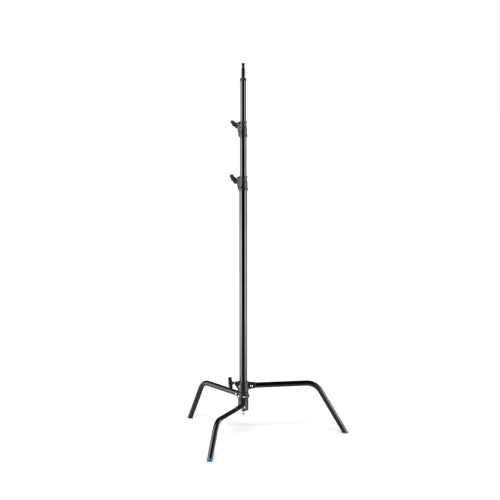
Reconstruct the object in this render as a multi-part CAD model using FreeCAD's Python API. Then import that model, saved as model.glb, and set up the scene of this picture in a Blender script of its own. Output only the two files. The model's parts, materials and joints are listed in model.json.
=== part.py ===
import FreeCAD, Part

import math
import os

from FreeCAD import Vector

# Lighting grip stand: a column on three bent legs stacked at three heights, two
# telescopic risers with T-knob locks and a 16 mm top stud. Millimetres, +Z up.
# The origin is on the column's axis at floor level. Azimuths are in degrees from +X
# towards +Y. Every leg, knob and clamp lug is built pointing along +X and then swung
# to its azimuth.

# ---- driving dimensions ------------------------------------------------------------

COLUMN_R, COLUMN_WALL = 17.5, 2.0
RISER_1_R, RISER_1_WALL = 15.0, 1.8
RISER_2_R, RISER_2_WALL = 12.5, 1.5
LEG_R, LEG_WALL = 12.5, 2.0

FIT = 0.05            # radial clearance of a running fit
GAP = 0.3             # gap between two faces that move past each other

FOOT_CIRCLE_R = 475.0  # radius at which each leg's axis meets the floor
LEG_BEND_R = 78.0      # centreline radius of the bend in each leg
LEG_INNER_R = 24.0     # each leg tube starts this far from the column's axis
SOCKET_END_R = 55.0    # each leg socket ends this far from the column's axis
LEG_BOLT_R = 35.0      # each leg bolt's distance from the column's axis
LEG_BOLT_SHANK_R = 3.0
SOCKET_MOUTH_R = 14.2
CHEEK_HALF_WIDTH = 16.4   # from the leg's middle plane to the bolt head's seat
FOOT_R = LEG_R + 0.2
FOOT_THIN_SIDE = 1.6      # height of the foot's inner side
FOOT_SPIGOT = 22.0        # length of the foot inside the leg tube

# Each leg: azimuth, height of its axis at the column, radius and height of the corner
# where its two straight lines would meet, casting's lowest and highest z, its socket's
# radius at the root, and the side of the leg that its bolt head is on.
LEGS = {
    "bottom_leg": dict(azimuth=-107.6, height=144.2, corner_r=375.0, corner_z=150.6,
                       z_low=125.0, z_high=169.5, root_r=15.6, bolt_side=1),
    "middle_leg": dict(azimuth=122.3, height=193.2, corner_r=351.0, corner_z=196.1,
                       z_low=171.1, z_high=209.0, root_r=15.6, bolt_side=1),
    "sliding_leg": dict(azimuth=9.7, height=236.7, corner_r=333.5, corner_z=239.0,
                        z_low=211.6, z_high=257.0, root_r=20.0, bolt_side=-1),
}
CASTING_R = 23.5       # outer radius of a casting's collar round the column
SLIDING_CASTING_R = 24.1
BAND_R = 28.0          # the middle casting's thicker band
DETENT_AZIMUTHS, DETENT_Z = (218.6, 278.0), 190.0
BUSH_SCREW_AZIMUTH, BUSH_SCREW_Z = 221.0, 235.4
BUSH_LOW, BUSH_HIGH, BUSH_R = 216.0, 241.0, 19.4

COLUMN_BOTTOM = 131.0
PLUG_TOP = 153.0
BASE_BOLT_R = 3.0
BOLT_HEAD_LOW = 101.0      # underside of the base bolt's hexagon
WASHER_LOW, WASHER_HIGH, WASHER_R = 107.0, 108.5, 10.0
SPRING_WIRE_R, SPRING_COIL_R, SPRING_TURNS = 0.9, 6.5, 4
THRUST_WASHER_R, THRUST_WASHER_THICKNESS = 22.5, 1.3
STOP_RING_LOW, STOP_RING_HIGH, GROOVE_DEPTH = 209.3, 211.3, 0.7
LOWER_COLLAR_TOP, LOWER_COLLAR_HEIGHT = 1182.0, 64.0
UPPER_COLLAR_TOP, UPPER_COLLAR_HEIGHT = 1425.0, 70.0
COLLAR_TUBE_DEPTH = 30.0   # the tube that carries a collar ends this far below its top
COLLAR_KNOB_DEPTH = 15.0   # a collar's screw axis is this far below its top
COLLAR_LUG_REACH = 13.5    # from the outside of the collar's tube to the lug's face
COLLAR_RIVET_DEPTH = 48.0
COLLAR_RIVET_R = 2.2
COLLAR_WEB_HALF_NOSE = 3.0
COLLAR_AZIMUTH = 148.0     # direction of both collars' clamp lugs

RISER_1_BOTTOM = 332.0
RISER_2_BOTTOM = 534.5
GUIDE_FLANGE = 6.0
CAP_RIM_Z = 1601.0
CAP_SPIGOT = 32.0          # length of the cap inside the upper riser
STUD_SHANK_R, STUD_DEPTH = 6.0, 24.0
STUD_PIN_R, STUD_PIN_DEPTH = 2.5, 14.0
STUD_R = 7.94          # 5/8 inch spigot
STUD_TOP = 1681.0

BUTTON_SHANK_R = 2.5       # button-head screws in the castings
SCREW_R = 4.0
SCREW_PITCH = 1.25
PAD_R, PAD_THICKNESS, PAD_TRAVEL = 6.0, 5.0, 2.5
TIP_R, TIP_LENGTH = 2.5, 3.0
KNOB_BAR_OFFSET = 15.0     # from the hub's inner face to the middle of the bar
KNOB_HALF_LENGTH, KNOB_HALF_THICKNESS = 28.5, 6.0
KNOB_HALF_MIDDLE, KNOB_HALF_TIP = 8.2, 7.6
KNOB_HUB_R = 8.8
KNOB_SCREW_DEPTH = 10.0    # length of the screw inside the handle

BASE_KNOB_Z = 250.0
BASE_LUG_R = 38.5

ORIGIN = Vector(0, 0, 0)
X, Y, Z = Vector(1, 0, 0), Vector(0, 1, 0), Vector(0, 0, 1)

# ---- helpers -----------------------------------------------------------------------


def rod(radius, start, end):
    """Cylinder between two points."""
    along = end - start
    return Part.makeCylinder(radius, along.Length, start, along)


def cone(r_start, r_end, start, end):
    along = end - start
    return Part.makeCone(r_start, r_end, along.Length, start, along)


def ring(r_out, r_in, z_low, z_high):
    outer = rod(r_out, Z * z_low, Z * z_high)
    return outer.cut(rod(r_in, Z * (z_low - 1), Z * (z_high + 1)))


def turned(outline):
    """Solid of revolution about Z from (radius, height) points."""
    corners = [Vector(r, 0, z) for r, z in outline]
    face = Part.Face(Part.makePolygon(corners + corners[:1]))
    return face.revolve(ORIGIN, Z, 360)


def plate(outline, half_thickness):
    """Flat plate in the X-Z plane from (x, z) points, centred on Y = 0."""
    corners = [Vector(x, -half_thickness, z) for x, z in outline]
    face = Part.Face(Part.makePolygon(corners + corners[:1]))
    return face.extrude(Y * 2 * half_thickness)


def hexagon(across_flats, z_low, z_high):
    """Hexagonal prism about Z with its corners chamfered at both ends."""
    corner_r = across_flats / math.sqrt(3)
    corners = [Vector(corner_r * math.cos(math.radians(60 * i)),
                      corner_r * math.sin(math.radians(60 * i)), z_low) for i in range(7)]
    prism = Part.Face(Part.makePolygon(corners)).extrude(Z * (z_high - z_low))
    flat_r, chamfer = across_flats / 2, corner_r - across_flats / 2
    return prism.common(turned([
        (0, z_low), (flat_r, z_low), (corner_r, z_low + chamfer),
        (corner_r, z_high - chamfer), (flat_r, z_high), (0, z_high)]))


def swung(shape, azimuth, height=0.0):
    """The shape turned about the column's axis and lifted."""
    moved = shape.copy()
    moved.rotate(ORIGIN, Z, azimuth)
    moved.translate(Z * height)
    return moved


def laid_along(shape, direction, position):
    """A shape built along +Z, laid along another direction at a position."""
    moved = shape.copy()
    moved.Placement = FreeCAD.Placement(position, FreeCAD.Rotation(Z, direction))
    return moved


def rounded(shape, radius, choose):
    """The shape with a fillet on the edges that choose(edge) picks."""
    return shape.makeFillet(radius, [edge for edge in shape.Edges if choose(edge)])


# ---- legs --------------------------------------------------------------------------


def leg_lines(leg):
    """Start, corner, floor point and the two unit directions of a leg's axis."""
    corner = Vector(leg["corner_r"], 0, leg["corner_z"])
    floor = Vector(FOOT_CIRCLE_R, 0, 0)
    out = (corner - Vector(0, 0, leg["height"])).normalize()
    down = (floor - corner).normalize()
    start = Vector(0, 0, leg["height"]) + out * LEG_INNER_R
    return start, corner, floor, out, down


def leg_end(leg):
    """Centre of the square-cut end of a leg tube, just above the floor."""
    _, _, floor, _, down = leg_lines(leg)
    slant = FOOT_R * math.hypot(down.x, down.y) / -down.z
    return floor - down * (slant + FOOT_THIN_SIDE)


def leg_sweep(leg, radius):
    """Round bar of the given radius along a leg's bent axis."""
    start, corner, _, out, down = leg_lines(leg)
    half_turn = out.getAngle(down) / 2
    tangent = LEG_BEND_R * math.tan(half_turn)
    bend_start, bend_end = corner - out * tangent, corner + down * tangent
    inward = (down - out).normalize()
    bend_middle = corner + inward * (LEG_BEND_R / math.cos(half_turn) - LEG_BEND_R)
    path = Part.Wire([
        Part.LineSegment(start, bend_start).toShape(),
        Part.Arc(bend_start, bend_middle, bend_end).toShape(),
        Part.LineSegment(bend_end, leg_end(leg)).toShape()])
    section = Part.Wire(Part.makeCircle(radius, start, out))
    return path.makePipeShell([section], True, True)


def leg_bolt_hole(leg):
    _, _, _, out, _ = leg_lines(leg)
    middle = Vector(0, 0, leg["height"]) + out * LEG_BOLT_R
    return rod(LEG_BOLT_SHANK_R + FIT, middle - Y * 30, middle + Y * 30)


def leg_tube(leg):
    tube = leg_sweep(leg, LEG_R).cut(leg_sweep(leg, LEG_R - LEG_WALL))
    return tube.cut(leg_bolt_hole(leg))


def leg_foot(leg):
    """End cap: a wedge between the square-cut tube and the floor, with a spigot."""
    _, _, floor, _, down = leg_lines(leg)
    end = leg_end(leg)
    wedge = rod(FOOT_R, end, floor + down * 30)
    wedge = wedge.cut(Part.makeBox(200, 200, 100, floor + Vector(-100, -100, -100)))
    wedge = rounded(wedge, 1.2, lambda edge: edge.BoundBox.ZMax < 0.01)
    wedge = rounded(wedge, 0.3, lambda edge: (edge.CenterOfMass - end).Length < 0.01)
    return wedge.fuse(rod(LEG_R - LEG_WALL - FIT, end - down * FOOT_SPIGOT, end + down))


def leg_bolt(leg):
    """Button-head bolt across the socket, and the nut on its far side."""
    _, _, _, out, _ = leg_lines(leg)
    middle = Vector(0, 0, leg["height"]) + out * LEG_BOLT_R
    head_side = Y * leg["bolt_side"]
    bolt = turned([(0, -CHEEK_HALF_WIDTH - 6.5), (LEG_BOLT_SHANK_R, -CHEEK_HALF_WIDTH - 6.5),
                   (LEG_BOLT_SHANK_R, CHEEK_HALF_WIDTH), (5.2, CHEEK_HALF_WIDTH),
                   (5.0, CHEEK_HALF_WIDTH + 1.4), (3.6, CHEEK_HALF_WIDTH + 2.7),
                   (1.9, CHEEK_HALF_WIDTH + 3.1), (0, CHEEK_HALF_WIDTH + 3.1)])
    bolt = bolt.cut(hexagon(4.0, CHEEK_HALF_WIDTH + 1.2, CHEEK_HALF_WIDTH + 4.0))
    nut = hexagon(10.0, -CHEEK_HALF_WIDTH - 5.0, -CHEEK_HALF_WIDTH)
    nut = nut.cut(rod(LEG_BOLT_SHANK_R, Z * -40, Z * 40))
    return [laid_along(piece, head_side, middle) for piece in (bolt, nut)]


def leg_socket(leg):
    """Tapered round socket with a flat cheek on each side for the leg bolt."""
    _, _, _, out, _ = leg_lines(leg)
    axis = Vector(0, 0, leg["height"])
    socket = cone(leg["root_r"], SOCKET_MOUTH_R, axis, axis + out * SOCKET_END_R)
    socket = rounded(socket, 1.2, lambda edge: edge.CenterOfMass.x > SOCKET_END_R - 1
                     and abs(edge.BoundBox.YLength - 2 * SOCKET_MOUTH_R) < 0.5)
    middle = axis + out * LEG_BOLT_R
    cheeks = rod(8.0, middle - Y * CHEEK_HALF_WIDTH, middle + Y * CHEEK_HALF_WIDTH)
    cheeks = rounded(cheeks, 0.8, lambda edge: edge.Closed and edge.Length > 45)
    return socket.fuse(cheeks)


def leg_bore(leg):
    _, _, _, out, _ = leg_lines(leg)
    axis = Vector(0, 0, leg["height"])
    return rod(LEG_R, axis + out * LEG_INNER_R, axis + out * 80).fuse(leg_bolt_hole(leg))


# ---- castings ----------------------------------------------------------------------


def casting_collar(leg, outer_r=CASTING_R):
    low, high, edge = leg["z_low"], leg["z_high"], 1.2
    return turned([(0, low), (outer_r - edge, low), (outer_r, low + edge),
                   (outer_r, high - edge), (outer_r - edge, high), (0, high)])


def bottom_casting():
    """Closed at the bottom, with a hole for the base bolt, and fixed to the column."""
    leg = LEGS["bottom_leg"]
    body = casting_collar(leg).fuse(leg_socket(leg))
    seat = rod(COLUMN_R, Z * COLUMN_BOTTOM, Z * 300)
    return body.cut(seat).cut(leg_bore(leg)).cut(rod(3.3, ORIGIN, Z * 200))


def middle_casting():
    """Turns on the column; its thicker band holds the two detent screws."""
    leg = LEGS["middle_leg"]
    band = turned([(0, 176), (CASTING_R - 0.5, 176), (BAND_R, 184), (BAND_R, 194),
                   (CASTING_R - 0.5, 202), (0, 202)])
    body = casting_collar(leg).fuse(band).fuse(leg_socket(leg))
    body = body.cut(rod(COLUMN_R + FIT, ORIGIN, Z * 300)).cut(leg_bore(leg))
    for azimuth in DETENT_AZIMUTHS:
        hole = rod(BUTTON_SHANK_R, X * 20, X * 30)
        body = body.cut(swung(hole, azimuth - leg["azimuth"], DETENT_Z))
    return body


def sliding_casting():
    """Rides on a captive nylon bush; the T-knob's lug is opposite the leg."""
    leg = LEGS["sliding_leg"]
    high = leg["z_high"]
    outline = [(10, high - 1), (-BASE_LUG_R + 1, high - 1), (-BASE_LUG_R, high - 3),
               (-BASE_LUG_R, 244), (-36, 240), (-30, 228), (-18, 214), (10, 214)]
    lug = plate(outline, 8.0)
    pocket = plate([(-20, high - 5), (-24, high - 5), (-26, 238), (-25, 230), (-20, 224)], 5.0)
    for side in (-1, 1):
        recess = pocket.copy()
        recess.translate(Y * side * 8.5)
        lug = lug.cut(recess)
    boss = rod(8.6, Vector(-15, 0, BASE_KNOB_Z - 2), Vector(-BASE_LUG_R, 0, BASE_KNOB_Z - 2))
    body = casting_collar(leg, SLIDING_CASTING_R).fuse(leg_socket(leg)).fuse(lug).fuse(boss)
    body = body.cut(rod(COLUMN_R + 0.5, ORIGIN, Z * 300))
    body = body.cut(rod(BUSH_R + FIT, Z * (BUSH_LOW - FIT), Z * (BUSH_HIGH + FIT)))
    body = body.cut(leg_bore(leg))
    screw_hole = rod(BUTTON_SHANK_R, X * 19.8, X * 30)
    body = body.cut(swung(screw_hole, BUSH_SCREW_AZIMUTH - leg["azimuth"], BUSH_SCREW_Z))
    return body.cut(swung(clamp_bore(COLUMN_R), 180, BASE_KNOB_Z))


def button_screw(seat_r, shank_length):
    """Button-head screw pointing at the column's axis, its head on a wall of that radius."""
    screw = turned([(0, -shank_length), (BUTTON_SHANK_R, -shank_length), (BUTTON_SHANK_R, 0),
                    (4.6, 0), (4.3, 1.4), (3.0, 2.4), (0, 2.8)]).cut(hexagon(3.0, 0.9, 4.0))
    return laid_along(screw, X, X * seat_r)


def detent_screws():
    """Two button-head screws in the middle casting's band."""
    screw = button_screw(BAND_R, 5.5)
    return Part.makeCompound([swung(screw, azimuth, DETENT_Z) for azimuth in DETENT_AZIMUTHS])


def base_spring():
    """Compression spring between the bottom casting and the base washer."""
    low = WASHER_HIGH + 0.1 + SPRING_WIRE_R
    high = LEGS["bottom_leg"]["z_low"] - 0.1 - SPRING_WIRE_R
    pitch = (high - low) / SPRING_TURNS
    helix = Part.makeHelix(pitch, high - low, SPRING_COIL_R)
    helix.translate(Z * low)
    start = Vector(SPRING_COIL_R, 0, low)
    tangent = Vector(0, 2 * math.pi * SPRING_COIL_R, pitch)
    section = Part.Wire(Part.makeCircle(SPRING_WIRE_R, start, tangent))
    return Part.Wire(helix).makePipeShell([section], True, True)


# ---- screw clamps ------------------------------------------------------------------


def clamp_bore(clamped_r):
    """Radial hole for a clamp's pad and screw, along +X from a clamped tube."""
    pad_back = clamped_r + PAD_THICKNESS
    pad_hole = rod(PAD_R + FIT, X * (clamped_r - 5), X * (pad_back + PAD_TRAVEL + 0.2))
    return pad_hole.fuse(rod(SCREW_R + FIT, X * clamped_r, X * 80))


def clamp_pad(clamped_r):
    """Round pad with a hollow face that fits the tube and a socket for the screw tip."""
    back = clamped_r + PAD_THICKNESS
    pad = rod(PAD_R, X * (clamped_r - 3), X * back)
    pad = pad.cut(rod(clamped_r + GAP, Z * -20, Z * 20))
    return pad.cut(rod(TIP_R + FIT, X * (back - TIP_LENGTH - 0.2), X * (back + 1)))


def clamp_screw(clamped_r, hub_start):
    """Screw along +X: a plain tip, ring-grooved thread and a shank in the handle."""
    shoulder = clamped_r + PAD_THICKNESS + 0.1
    thread_end = hub_start - 0.5
    outline = [(0, shoulder - TIP_LENGTH), (TIP_R, shoulder - TIP_LENGTH), (TIP_R, shoulder)]
    groove = 0.5
    position = shoulder + 0.6
    outline.append((SCREW_R - groove, shoulder))
    while position + SCREW_PITCH < thread_end:
        outline.append((SCREW_R, position))
        outline.append((SCREW_R - groove, position + SCREW_PITCH / 2))
        position += SCREW_PITCH
    end = hub_start + KNOB_SCREW_DEPTH
    outline += [(SCREW_R, position), (SCREW_R, end), (0, end)]
    return laid_along(turned(outline), X, ORIGIN)


def t_handle(hub_start):
    """T-shaped handle: a bar along Z and a round hub through its middle, facing the clamp."""
    front = Y * -KNOB_HALF_THICKNESS
    top = Z * KNOB_HALF_LENGTH
    edges = [Part.Arc(front + X * side * KNOB_HALF_TIP + top, front + X * side * KNOB_HALF_MIDDLE,
                      front + X * side * KNOB_HALF_TIP - top).toShape() for side in (-1, 1)]
    edges += [Part.LineSegment(front + X * KNOB_HALF_TIP + end,
                               front - X * KNOB_HALF_TIP + end).toShape() for end in (top, -top)]
    outline = Part.Wire(Part.__sortEdges__(edges))
    bar = Part.Face(outline).extrude(Y * 2 * KNOB_HALF_THICKNESS)
    bar = rounded(bar, 2.6, lambda edge: edge.BoundBox.YLength > 1)
    bar = rounded(bar, 2.2, lambda edge: edge.BoundBox.YLength < 0.1)
    bar.translate(X * KNOB_BAR_OFFSET)
    outer_face = KNOB_BAR_OFFSET + KNOB_HALF_MIDDLE + 0.4
    hub = cone(6.5, KNOB_HUB_R, ORIGIN, X * 8).fuse(rod(KNOB_HUB_R, X * 8, X * outer_face))
    hub = rounded(hub.removeSplitter(), 0.8, lambda edge: edge.Closed)
    handle = bar.fuse(hub).cut(rod(SCREW_R, X * -1, X * KNOB_SCREW_DEPTH))
    handle.translate(X * hub_start)
    return handle


def knob_set(clamped_r, hub_start, azimuth, height, roll):
    """Pad, screw and handle of one clamp, swung to the clamp's azimuth and height."""
    handle = t_handle(hub_start)
    handle.rotate(ORIGIN, X, roll)
    pieces = (clamp_pad(clamped_r), clamp_screw(clamped_r, hub_start), handle)
    return [swung(piece, azimuth, height) for piece in pieces]


# ---- riser collars -----------------------------------------------------------------


def collar_web(outline, waist_r, reach):
    """Wedge under the clamp boss that runs out from both sides of the collar's waist."""
    nose = Vector(reach, COLLAR_WEB_HALF_NOSE, 0)
    spread = math.atan2(nose.y, nose.x) + math.acos(waist_r / nose.Length)
    root = Vector(waist_r * math.cos(spread), waist_r * math.sin(spread), 0)
    mirrored = [Vector(point.x, -point.y, 0) for point in (nose, root)]
    plan = Part.Face(Part.makePolygon([ORIGIN, root, nose] + mirrored + [ORIGIN]))
    wedge = plan.extrude(Z * -200)
    return wedge.common(plate(outline, waist_r + 5))


def riser_collar(top, height, tube_r, riser_r):
    """Casting fixed on the top of one tube, clamping the smaller riser inside it."""
    lip, waist = riser_r + 4.3, riser_r + 2.4
    body, flange, lug = tube_r + 2.2, tube_r + 4.2, tube_r + COLLAR_LUG_REACH
    outline = [(0, 0), (lip - 1.2, 0), (lip, -1.2), (lip, -6.5), (waist, -9),
               (waist, -22), (body, -25)]
    for depth in (28.0, 41.0, height - 14.0):
        outline += [(body, -depth + 1.2), (body - 0.8, -depth + 0.5),
                    (body - 0.8, -depth - 0.5), (body, -depth - 1.2)]
    outline += [(body, -height + 11), (flange, -height + 9.5), (flange, -height + 1.5),
                (flange - 1.5, -height), (0, -height)]
    casting = turned(outline)
    web = collar_web([(0, -1.5), (riser_r + 8, -2.5), (lug, -6), (lug, -0.6 * height),
                      (tube_r + 5, 1.5 - height), (0, 1.5 - height)], waist, lug)
    boss = rod(9.3, Vector(riser_r, 0, -COLLAR_KNOB_DEPTH), Vector(lug, 0, -COLLAR_KNOB_DEPTH))
    boss = rounded(boss, 1.0, lambda edge: edge.Closed and edge.CenterOfMass.x > riser_r + 1)
    casting = casting.fuse(web).fuse(boss)
    casting = casting.cut(rod(riser_r + GAP, Z, Z * -height * 2))
    casting = casting.cut(rod(tube_r, Z * -COLLAR_TUBE_DEPTH, Z * -height * 2))
    casting = casting.cut(rod(riser_r + 1.7, Z * -2, Z * -5))
    bore = clamp_bore(riser_r)
    bore.translate(Z * -COLLAR_KNOB_DEPTH)
    casting = casting.cut(bore)
    return swung(casting, COLLAR_AZIMUTH, top)


def collar_wiper(top, riser_r):
    """Nylon ring held in the collar's lip, close round the riser."""
    return ring(riser_r + 1.7, riser_r + FIT, top - 5, top - 2)


def collar_rivets(top, tube_r):
    """Two flush-bottomed rivets that fix a collar to its tube."""
    rivet = turned([(0, tube_r - 1.4), (COLLAR_RIVET_R, tube_r - 1.4),
                    (COLLAR_RIVET_R, tube_r + 2.2),
                    (3.6, tube_r + 2.2), (3.0, tube_r + 3.0), (0, tube_r + 3.3)])
    rivet = laid_along(rivet, X, ORIGIN)
    sides = (COLLAR_AZIMUTH + 90, COLLAR_AZIMUTH - 90)
    return Part.makeCompound([swung(rivet, side, top - COLLAR_RIVET_DEPTH) for side in sides])


def with_rivet_holes(shape, top):
    for side in (COLLAR_AZIMUTH + 90, COLLAR_AZIMUTH - 90):
        hole = rod(COLLAR_RIVET_R, X * 5, X * 40)
        shape = shape.cut(swung(hole, side, top - COLLAR_RIVET_DEPTH))
    return shape


# ---- column and risers -------------------------------------------------------------


def column_tube():
    top = LOWER_COLLAR_TOP - COLLAR_TUBE_DEPTH
    tube = ring(COLUMN_R, COLUMN_R - COLUMN_WALL, COLUMN_BOTTOM, top)
    groove = ring(COLUMN_R + 1, COLUMN_R - GROOVE_DEPTH, STOP_RING_LOW, STOP_RING_HIGH)
    return with_rivet_holes(tube.cut(groove), LOWER_COLLAR_TOP)


def stop_ring():
    """Open snap ring in the column's groove, between the two upper castings."""
    snap = ring(COLUMN_R + 2.6, COLUMN_R - GROOVE_DEPTH, STOP_RING_LOW, STOP_RING_HIGH)
    mouth = Part.makeBox(10, 8, 10, Vector(14, -4, STOP_RING_LOW - 4))
    return snap.cut(swung(mouth, 65))


def column_plug():
    """Threaded plug in the column's foot that takes the base bolt."""
    return ring(COLUMN_R - COLUMN_WALL, BASE_BOLT_R, COLUMN_BOTTOM, PLUG_TOP)


def base_bolt():
    """Hexagon-headed bolt with a flange, screwed into the column's plug."""
    head_high = BOLT_HEAD_LOW + 5.0
    flange = rod(6.6, Z * (head_high - 0.6), Z * WASHER_LOW)
    shank = rod(BASE_BOLT_R, Z * head_high, Z * (PLUG_TOP - 2))
    return hexagon(10.0, BOLT_HEAD_LOW, head_high).fuse(flange).fuse(shank)


def riser_1_tube():
    top = UPPER_COLLAR_TOP - COLLAR_TUBE_DEPTH
    tube = ring(RISER_1_R, RISER_1_R - RISER_1_WALL, RISER_1_BOTTOM, top)
    return with_rivet_holes(tube, UPPER_COLLAR_TOP)


def riser_guide(bottom, tube_r, tube_wall, outer_bore_r):
    """Nylon plug under a riser: a flange that slides in the tube round it, and a spigot
    on which the riser turns."""
    flange_r, spigot_r = outer_bore_r - FIT, tube_r - tube_wall - FIT
    low = bottom - GUIDE_FLANGE - GAP
    return turned([(0, low), (flange_r - 0.8, low), (flange_r, low + 0.8),
                   (flange_r, bottom - GAP), (spigot_r, bottom - GAP),
                   (spigot_r, bottom + 19), (spigot_r - 1, bottom + 20), (0, bottom + 20)])


def top_cap():
    """Domed cap on the upper riser, with a spigot in the tube and the stud's bore."""
    spigot_r, rim_r = RISER_2_R - RISER_2_WALL, 14.6
    dome = [(rim_r * math.cos(a), CAP_RIM_Z + 6.5 + 12.0 * math.sin(a))
            for a in (math.radians(9 * i) for i in range(1, 7))]
    low = CAP_RIM_Z - CAP_SPIGOT
    outline = [(0, low), (spigot_r - 1, low), (spigot_r, low + 1),
               (spigot_r, CAP_RIM_Z), (rim_r - 0.8, CAP_RIM_Z), (rim_r, CAP_RIM_Z + 0.8),
               (rim_r, CAP_RIM_Z + 5.2), (rim_r - 0.9, CAP_RIM_Z + 6.2)]
    outline += dome + [(0, dome[-1][1])]
    cap = turned(outline).cut(rod(STUD_SHANK_R, Z * (CAP_RIM_Z - STUD_DEPTH), Z * STUD_TOP))
    return cap.cut(stud_pin_hole())


def cross_pin(half_length):
    """Round pin along Y through the cap's spigot and the stud."""
    middle = Z * (CAP_RIM_Z - STUD_PIN_DEPTH)
    return rod(STUD_PIN_R, middle - Y * half_length, middle + Y * half_length)


def stud_pin_hole():
    return cross_pin(20.0)


def top_stud():
    """Spigot with a retaining waist under its head and a groove at its foot."""
    foot = CAP_RIM_Z + 17.0
    low = CAP_RIM_Z - STUD_DEPTH
    outline = [(0, low), (STUD_SHANK_R, low), (STUD_SHANK_R, foot), (6.9, foot),
               (6.9, foot + 4), (STUD_R, foot + 5.5), (STUD_R, foot + 38), (5.7, foot + 42),
               (5.7, foot + 54), (STUD_R, foot + 58), (STUD_R, STUD_TOP - 0.8),
               (STUD_R - 0.8, STUD_TOP), (0, STUD_TOP)]
    return turned(outline).cut(stud_pin_hole())


def riser_2_tube():
    tube = ring(RISER_2_R, RISER_2_R - RISER_2_WALL, RISER_2_BOTTOM, CAP_RIM_Z)
    return tube.cut(stud_pin_hole())


def stud_pin():
    return cross_pin(RISER_2_R)


# ---- assembly ----------------------------------------------------------------------


def build():
    """All nodes by name."""
    nodes = {
        "column_tube": column_tube(),
        "column_plug": column_plug(),
        "base_bolt": base_bolt(),
        "base_washer": ring(WASHER_R, BASE_BOLT_R + 0.2, WASHER_LOW, WASHER_HIGH),
        "base_spring": base_spring(),
        "thrust_washer": ring(THRUST_WASHER_R, COLUMN_R, LEGS["bottom_leg"]["z_high"],
                              LEGS["bottom_leg"]["z_high"] + THRUST_WASHER_THICKNESS),
        "stop_ring": stop_ring(),
        "slide_bush": ring(BUSH_R, COLUMN_R + FIT, BUSH_LOW, BUSH_HIGH),
        "middle_detent_screws": detent_screws(),
        "bush_screw": swung(button_screw(SLIDING_CASTING_R, 4.0), BUSH_SCREW_AZIMUTH, BUSH_SCREW_Z),
        "riser_1_guide": riser_guide(RISER_1_BOTTOM, RISER_1_R, RISER_1_WALL,
                                     COLUMN_R - COLUMN_WALL),
        "riser_1_tube": riser_1_tube(),
        "riser_2_guide": riser_guide(RISER_2_BOTTOM, RISER_2_R, RISER_2_WALL,
                                     RISER_1_R - RISER_1_WALL),
        "riser_2_tube": riser_2_tube(),
        "top_cap": top_cap(),
        "top_stud": top_stud(),
        "stud_pin": stud_pin(),
    }
    castings = {"bottom_leg": bottom_casting(), "middle_leg": middle_casting(),
                "sliding_leg": sliding_casting()}
    for name, leg in LEGS.items():
        bolt, nut = leg_bolt(leg)
        pieces = {"casting": castings[name], "tube": leg_tube(leg), "foot": leg_foot(leg),
                  "bolt": bolt, "nut": nut}
        for kind, shape in pieces.items():
            nodes[f"{name}_{kind}"] = swung(shape, leg["azimuth"])

    collars = {
        "lower": (LOWER_COLLAR_TOP, LOWER_COLLAR_HEIGHT, COLUMN_R, RISER_1_R),
        "upper": (UPPER_COLLAR_TOP, UPPER_COLLAR_HEIGHT, RISER_1_R, RISER_2_R),
    }
    for name, (top, height, tube_r, riser_r) in collars.items():
        nodes[f"{name}_collar"] = with_rivet_holes(riser_collar(top, height, tube_r, riser_r), top)
        nodes[f"{name}_collar_wiper"] = collar_wiper(top, riser_r)
        nodes[f"{name}_collar_rivets"] = collar_rivets(top, tube_r)

    knobs = {
        "base": (COLUMN_R, BASE_LUG_R + 5.5, LEGS["sliding_leg"]["azimuth"] + 180,
                 BASE_KNOB_Z, 36.0),
        "lower": (RISER_1_R, COLUMN_R + COLLAR_LUG_REACH + 4.5, COLLAR_AZIMUTH,
                  LOWER_COLLAR_TOP - COLLAR_KNOB_DEPTH, -48.0),
        "upper": (RISER_2_R, RISER_1_R + COLLAR_LUG_REACH + 0.6, COLLAR_AZIMUTH,
                  UPPER_COLLAR_TOP - COLLAR_KNOB_DEPTH, -59.0),
    }
    for name, (clamped_r, hub_start, azimuth, height, roll) in knobs.items():
        pad, screw, handle = knob_set(clamped_r, hub_start, azimuth, height, roll)
        nodes[f"{name}_knob_pad"] = pad
        nodes[f"{name}_knob_screw"] = screw
        nodes[f"{name}_knob_handle"] = handle
    return nodes


os.makedirs("parts", exist_ok=True)
for node_name, node_shape in build().items():
    assert node_shape.isValid(), node_name
    node_shape.exportStep(f"parts/{node_name}.step")
    print(f"{node_name:24s} solids {len(node_shape.Solids)}  volume {node_shape.Volume:10.0f}")
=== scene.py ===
import json
import math

import bpy
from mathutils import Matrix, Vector


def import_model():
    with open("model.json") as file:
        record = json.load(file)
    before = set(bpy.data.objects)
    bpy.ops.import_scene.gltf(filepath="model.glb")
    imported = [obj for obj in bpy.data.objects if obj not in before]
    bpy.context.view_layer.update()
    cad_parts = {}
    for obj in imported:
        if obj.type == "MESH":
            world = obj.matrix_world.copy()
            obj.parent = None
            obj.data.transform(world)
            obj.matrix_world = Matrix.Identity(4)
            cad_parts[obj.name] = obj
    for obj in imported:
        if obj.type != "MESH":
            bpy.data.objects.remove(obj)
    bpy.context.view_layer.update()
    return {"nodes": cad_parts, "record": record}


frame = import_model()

nodes = frame["nodes"]

FLOOR_HALF = 40.0                       # metres, so that its edge is lost in the white world
FLOOR_DARK, FLOOR_PALE = (0.83, 0.83, 0.83), (0.845, 0.845, 0.845)

KEY_LAMPS, KEY_SPACING = 5, 8           # suns side by side, and degrees between them
KEY_STRENGTH, KEY_SIZE = 2.4, 9         # all suns together, and degrees across each
KEY_TILT = 48                           # degrees from straight down
FILL_LOSS = 0.1                         # share of the world's light held back from surfaces

CAMERA_DISTANCE, CAMERA_HEIGHT = 7.183, 1.669
CAMERA_PITCH, CAMERA_YAW = 6.49, 0.24   # degrees down, and degrees to the right
LENS, SENSOR = 116.6, 36.0

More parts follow.
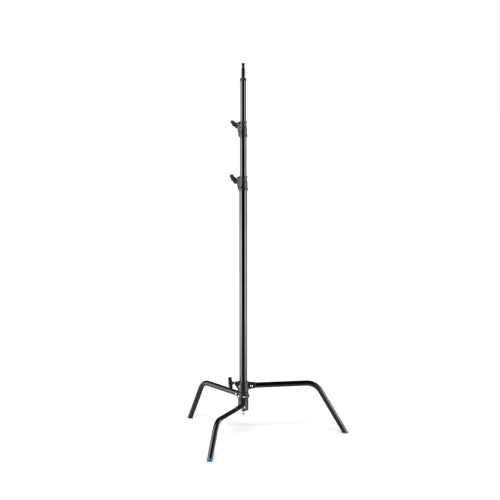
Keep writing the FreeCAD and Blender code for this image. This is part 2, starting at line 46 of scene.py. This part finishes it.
# What polished pieces reflect, as brightness along a direction of reflection. "Round" stops run
# from -1, toward the camera, to 1, away from it. "Up" stops run from -1, down, to 1, up.
# PANEL_FOOT is the start of a side panel's "up": its lower end, mirrored in the pale floor.
PANEL_FOOT = [(-0.5, 0.0), (-0.25, 0.3), (-0.19, 0.75), (-0.15, 1.5), (-0.11, 1.6),
              (-0.09, 1.25), (-0.035, 1.1)]
LEFT_PANEL = {
    "round": [(-1, 0.0), (-0.75, 0.0), (-0.67, 1.0), (0.0, 0.95), (0.2, 0.65), (0.42, 0.45),
              (0.58, 0.1), (0.72, 0.01), (1, 0.0)],
    "up": PANEL_FOOT + [(0.5, 1.0), (0.67, 0.8), (0.85, 0.5), (1.0, 0.4)],
    "strength": 4.8}
RIGHT_PANEL = {
    "round": [(-1, 0.0), (-0.75, 0.0), (-0.67, 1.0), (-0.2, 1.0), (0.07, 0.6), (0.25, 0.15),
              (0.5, 0.05), (1, 0.01)],
    "up": PANEL_FOOT + [(0.14, 1.0), (0.25, 0.6), (0.37, 0.3), (0.6, 0.05), (0.7, 0.0)],
    "strength": 4.3}
LOW_CARD = {
    "round": [(-1, 0.0), (0.68, 0.0), (0.78, 1.0), (1, 1.0)],
    "up": [(-1, 0.0), (-0.5, 0.0), (-0.42, 1.0), (-0.24, 1.0), (-0.2, 0.0)],
    "strength": 3.4}
BACK_PANEL = {
    "round": [(-1, 0.0), (-0.05, 0.0), (0.15, 1.0), (0.62, 1.0), (0.75, 0.0)],
    "up": [(0.0, 0.0), (0.12, 1.0), (0.45, 0.9), (0.7, 0.3), (0.8, 0.0)],
    "strength": 2.6}
ROOM = [(-1, 0.55), (-0.35, 0.5), (-0.2, 0.15), (-0.13, 0.0), (0.3, 0.01), (0.72, 0.04),
        (1, 0.08)]

# ---- materials ---------------------------------------------------------------------


class Graph:
    """A material's node tree with short calls for adding and linking nodes."""

    def __init__(self, name):
        self.material = bpy.data.materials.new(name)
        self.material.use_nodes = True
        self.tree = self.material.node_tree
        self.shader = self.tree.nodes["Principled BSDF"]
        self.place = self.add("ShaderNodeTexCoord").outputs["Object"]

    def add(self, kind, **settings):
        node = self.tree.nodes.new(kind)
        for key, value in settings.items():
            setattr(node, key, value)
        return node

    def link(self, output, socket):
        self.tree.links.new(output, socket)

    def mapped(self, scale):
        """Object coordinates in metres, stretched along the axes."""
        mapping = self.add("ShaderNodeMapping")
        mapping.inputs["Scale"].default_value = scale
        self.link(self.place, mapping.inputs["Vector"])
        return mapping.outputs["Vector"]

    def noise(self, scale, detail=3.0, roughness=0.55, stretch=(1, 1, 1)):
        node = self.add("ShaderNodeTexNoise")
        node.inputs["Scale"].default_value = scale
        node.inputs["Detail"].default_value = detail
        node.inputs["Roughness"].default_value = roughness
        self.link(self.mapped(stretch), node.inputs["Vector"])
        return node.outputs["Fac"]

    def ranged(self, value, low, high, out_low, out_high):
        node = self.add("ShaderNodeMapRange")
        for name, number in (("From Min", low), ("From Max", high),
                             ("To Min", out_low), ("To Max", out_high)):
            node.inputs[name].default_value = number
        self.link(value, node.inputs["Value"])
        return node.outputs["Result"]

    def mixed(self, factor, colour_a, colour_b):
        node = self.add("ShaderNodeMix", data_type="RGBA")
        node.inputs["A"].default_value = (*colour_a, 1)
        node.inputs["B"].default_value = (*colour_b, 1)
        self.link(factor, node.inputs["Factor"])
        return node.outputs["Result"]

    def bump(self, height, strength, distance, under=None):
        """Bumps of this depth in metres, over those of another normal if one is given."""
        node = self.add("ShaderNodeBump")
        node.inputs["Strength"].default_value = strength
        node.inputs["Distance"].default_value = distance
        self.link(height, node.inputs["Height"])
        if under is not None:
            self.link(under, node.inputs["Normal"])
        return node.outputs["Normal"]

    def finish(self, colour, roughness, normal, metallic=0.0, specular=0.5):
        self.link(colour, self.shader.inputs["Base Color"])
        self.link(roughness, self.shader.inputs["Roughness"])
        self.link(normal, self.shader.inputs["Normal"])
        self.shader.inputs["Metallic"].default_value = metallic
        self.shader.inputs["Specular IOR Level"].default_value = specular
        return self.material


def black_chrome():
    """Polished, nearly black plating: faint drawing lines and handling haze."""
    g = Graph("black_chrome")
    haze = g.noise(9.0, 4.0, 0.6)
    lines = g.noise(700.0, 2.0, 0.5, stretch=(1, 1, 0.02))
    colour = g.mixed(g.ranged(haze, 0.3, 0.7, 0, 1), (0.056, 0.057, 0.060), (0.068, 0.069, 0.072))
    roughness = g.ranged(haze, 0.3, 0.75, 0.03, 0.08)
    return g.finish(colour, roughness, g.bump(lines, 0.05, 0.0002), metallic=1.0)


def black_casting():
    """Black powder coat on a sand casting: blotches, and fine orange peel over coarser grain."""
    g = Graph("black_casting")
    grain = g.noise(420.0, 3.0, 0.6)
    peel = g.noise(1500.0, 2.0, 0.5)
    blotches = g.ranged(g.noise(140.0, 4.0), 0.38, 0.65, 0, 1)
    colour = g.mixed(blotches, (0.003, 0.003, 0.0035), (0.018, 0.018, 0.019))
    roughness = g.ranged(blotches, 0, 1, 0.06, 0.2)
    normal = g.bump(peel, 0.15, 0.0002, under=g.bump(grain, 0.15, 0.0006))
    return g.finish(colour, roughness, normal, specular=0.42)


def black_knob():
    """Moulded glass-filled nylon: satin with a fine spark-eroded texture."""
    g = Graph("black_knob")
    spark = g.noise(2200.0, 3.0, 0.6)
    flow = g.ranged(g.noise(45.0, 3.0), 0.35, 0.7, 0, 1)
    colour = g.mixed(flow, (0.006, 0.006, 0.007), (0.012, 0.012, 0.013))
    roughness = g.ranged(spark, 0.3, 0.7, 0.3, 0.42)
    return g.finish(colour, roughness, g.bump(spark, 0.3, 0.0002), specular=0.22)


def blue_foot():
    """Blue rubber with a mottled, slightly grainy surface."""
    g = Graph("blue_foot")
    mottle = g.ranged(g.noise(90.0, 4.0), 0.35, 0.7, 0, 1)
    grain = g.noise(900.0, 3.0)
    colour = g.mixed(mottle, (0.008, 0.072, 0.135), (0.018, 0.12, 0.20))
    roughness = g.ranged(grain, 0.3, 0.7, 0.3, 0.45)
    return g.finish(colour, roughness, g.bump(grain, 0.3, 0.0003))


def bright_zinc():
    """Bright zinc plating with a faint cloudiness."""
    g = Graph("bright_zinc")
    cloud = g.noise(300.0, 3.0)
    colour = g.mixed(g.ranged(cloud, 0.3, 0.7, 0, 1), (0.72, 0.72, 0.71), (0.86, 0.86, 0.85))
    roughness = g.ranged(cloud, 0.3, 0.7, 0.18, 0.32)
    return g.finish(colour, roughness, g.bump(g.noise(1800.0), 0.1, 0.0002), metallic=1.0)


def black_steel():
    """Black oxide: dark, with an oily unevenness."""
    g = Graph("black_steel")
    cloud = g.noise(240.0, 3.0)
    colour = g.mixed(g.ranged(cloud, 0.3, 0.7, 0, 1), (0.010, 0.010, 0.011), (0.022, 0.022, 0.024))
    roughness = g.ranged(cloud, 0.3, 0.7, 0.28, 0.42)
    return g.finish(colour, roughness, g.bump(g.noise(1500.0), 0.15, 0.0002), metallic=1.0)


def natural_nylon():
    """Off-white nylon with turning marks."""
    g = Graph("natural_nylon")
    rings = g.noise(900.0, 2.0, 0.5, stretch=(0.05, 0.05, 1))
    tone = g.ranged(g.noise(80.0), 0.35, 0.7, 0, 1)
    colour = g.mixed(tone, (0.62, 0.61, 0.56), (0.72, 0.71, 0.66))
    roughness = g.ranged(rings, 0.3, 0.7, 0.45, 0.6)
    return g.finish(colour, roughness, g.bump(rings, 0.2, 0.0002))


def turned_aluminium():
    """Bare aluminium with turning marks."""
    g = Graph("turned_aluminium")
    rings = g.noise(1200.0, 2.0, 0.5, stretch=(0.05, 0.05, 1))
    colour = g.mixed(g.ranged(rings, 0.3, 0.7, 0, 1), (0.56, 0.56, 0.57), (0.68, 0.68, 0.69))
    roughness = g.ranged(rings, 0.3, 0.7, 0.28, 0.42)
    return g.finish(colour, roughness, g.bump(rings, 0.25, 0.0002), metallic=1.0)


materials = {
    "black_chrome": black_chrome(),
    "black_casting": black_casting(),
    "black_knob": black_knob(),
    "blue_foot": blue_foot(),
    "bright_steel": bright_zinc(),
    "black_steel": black_steel(),
    "white_nylon": natural_nylon(),
    "plug_aluminium": turned_aluminium(),
}

for subpart in frame["record"]["subparts"]:
    obj = nodes[subpart["node"]]
    obj.data.materials.clear()
    obj.data.materials.append(materials[subpart["material_slot"]])

# ---- floor, light and camera -------------------------------------------------------


def floor():
    """White paper floor; the polished tubes reflect the world's room in its place."""
    mesh = bpy.data.meshes.new("floor")
    corners = [(x * FLOOR_HALF, y * FLOOR_HALF, 0)
               for x, y in ((-1, -1), (1, -1), (1, 1), (-1, 1))]
    mesh.from_pydata(corners, [], [(0, 1, 2, 3)])
    plane = bpy.data.objects.new("floor", mesh)
    bpy.context.scene.collection.objects.link(plane)
    g = Graph("floor_paper")
    tone = g.ranged(g.noise(3.0), 0.3, 0.7, 0, 1)
    fibres = g.bump(g.noise(200.0), 0.05, 0.0005)
    mesh.materials.append(g.finish(g.mixed(tone, FLOOR_DARK, FLOOR_PALE),
                                   g.ranged(tone, 0, 1, 0.9, 0.98), fibres, specular=0.0))
    plane.visible_glossy = False


def key_light():
    """A wide, low strip of soft light, high up in front: it blurs the column's shadow away
    and leaves a faint one running back from each foot."""
    for number in range(KEY_LAMPS):
        light = bpy.data.lights.new("key", "SUN")
        light.energy = KEY_STRENGTH / KEY_LAMPS
        light.angle = math.radians(KEY_SIZE)
        lamp = bpy.data.objects.new("key", light)
        aside = KEY_SPACING * (number - (KEY_LAMPS - 1) / 2)
        lamp.rotation_euler = (math.radians(KEY_TILT), 0, math.radians(aside))
        lamp.visible_glossy = False
        bpy.context.scene.collection.objects.link(lamp)


def world():
    """Even white light; in reflections, a dim room with a tall white panel on each side, one
    behind on the right, a low card on the right and a pale floor."""
    room = bpy.data.worlds.new("studio")
    room.use_nodes = True
    tree = room.node_tree
    tree.nodes.clear()

    def add(kind, **settings):
        node = tree.nodes.new(kind)
        for key, value in settings.items():
            setattr(node, key, value)
        return node

    def calc(operation, *values):
        node = add("ShaderNodeMath", operation=operation)
        for socket, value in zip(node.inputs, values):
            if isinstance(value, (int, float)):
                socket.default_value = value
            else:
                tree.links.new(value, socket)
        return node.outputs[0]

    def curve(value, stops):
        """Piecewise-linear function of a value between -1 and 1."""
        ramp = add("ShaderNodeValToRGB")
        elements = ramp.color_ramp.elements
        while len(elements) < len(stops):
            elements.new(0.5)
        for element, (x, y) in zip(elements, stops):
            element.position = x / 2 + 0.5
            element.color = (y, y, y, 1)
        tree.links.new(calc("MULTIPLY_ADD", value, 0.5, 0.5), ramp.inputs[0])
        return ramp.outputs[0]

    def background():
        node = add("ShaderNodeBackground")
        node.inputs["Color"].default_value = (1, 1, 1, 1)
        return node

    split = add("ShaderNodeSeparateXYZ")
    tree.links.new(add("ShaderNodeTexCoord").outputs["Generated"], split.inputs[0])
    x, y, z = (split.outputs[axis] for axis in "XYZ")
    level = calc("SQRT", calc("SUBTRACT", 1.0, calc("MULTIPLY", z, z)))
    away = calc("DIVIDE", y, calc("MAXIMUM", level, 0.001))
    on_right = calc("GREATER_THAN", x, 0.0)
    on_left = calc("SUBTRACT", 1.0, on_right)

    glow = curve(z, ROOM)
    for side, panel in ((on_left, LEFT_PANEL), (on_right, RIGHT_PANEL), (on_right, LOW_CARD),
                        (on_right, BACK_PANEL)):
        shape = calc("MULTIPLY", curve(away, panel["round"]), curve(z, panel["up"]))
        lit = calc("MULTIPLY", calc("MULTIPLY", shape, side), panel["strength"])
        glow = calc("ADD", glow, lit)

    path = add("ShaderNodeLightPath")
    even, reflected = background(), background()
    fill = calc("SUBTRACT", 1.0, calc("MULTIPLY", path.outputs["Is Diffuse Ray"], FILL_LOSS))
    tree.links.new(fill, even.inputs["Strength"])
    tree.links.new(glow, reflected.inputs["Strength"])
    mix = add("ShaderNodeMixShader")
    tree.links.new(path.outputs["Is Glossy Ray"], mix.inputs[0])
    tree.links.new(even.outputs[0], mix.inputs[1])
    tree.links.new(reflected.outputs[0], mix.inputs[2])
    tree.links.new(mix.outputs[0], add("ShaderNodeOutputWorld").inputs[0])
    bpy.context.scene.world = room


def camera():
    """Long lens about level with the stand's top, looking slightly down."""
    pitch, yaw = math.radians(CAMERA_PITCH), math.radians(CAMERA_YAW)
    data = bpy.data.cameras.new("camera")
    data.lens, data.sensor_width = LENS, SENSOR
    data.clip_end = 100.0
    eye = bpy.data.objects.new("camera", data)
    eye.location = (0, -CAMERA_DISTANCE, CAMERA_HEIGHT)
    looking = Vector((math.sin(yaw) * math.cos(pitch), math.cos(yaw) * math.cos(pitch),
                      -math.sin(pitch)))
    eye.rotation_euler = looking.to_track_quat("-Z", "Y").to_euler()
    bpy.context.scene.collection.objects.link(eye)
    bpy.context.scene.camera = eye


floor()
world()
camera()
key_light()
bpy.context.scene.view_settings.view_transform = "Standard"
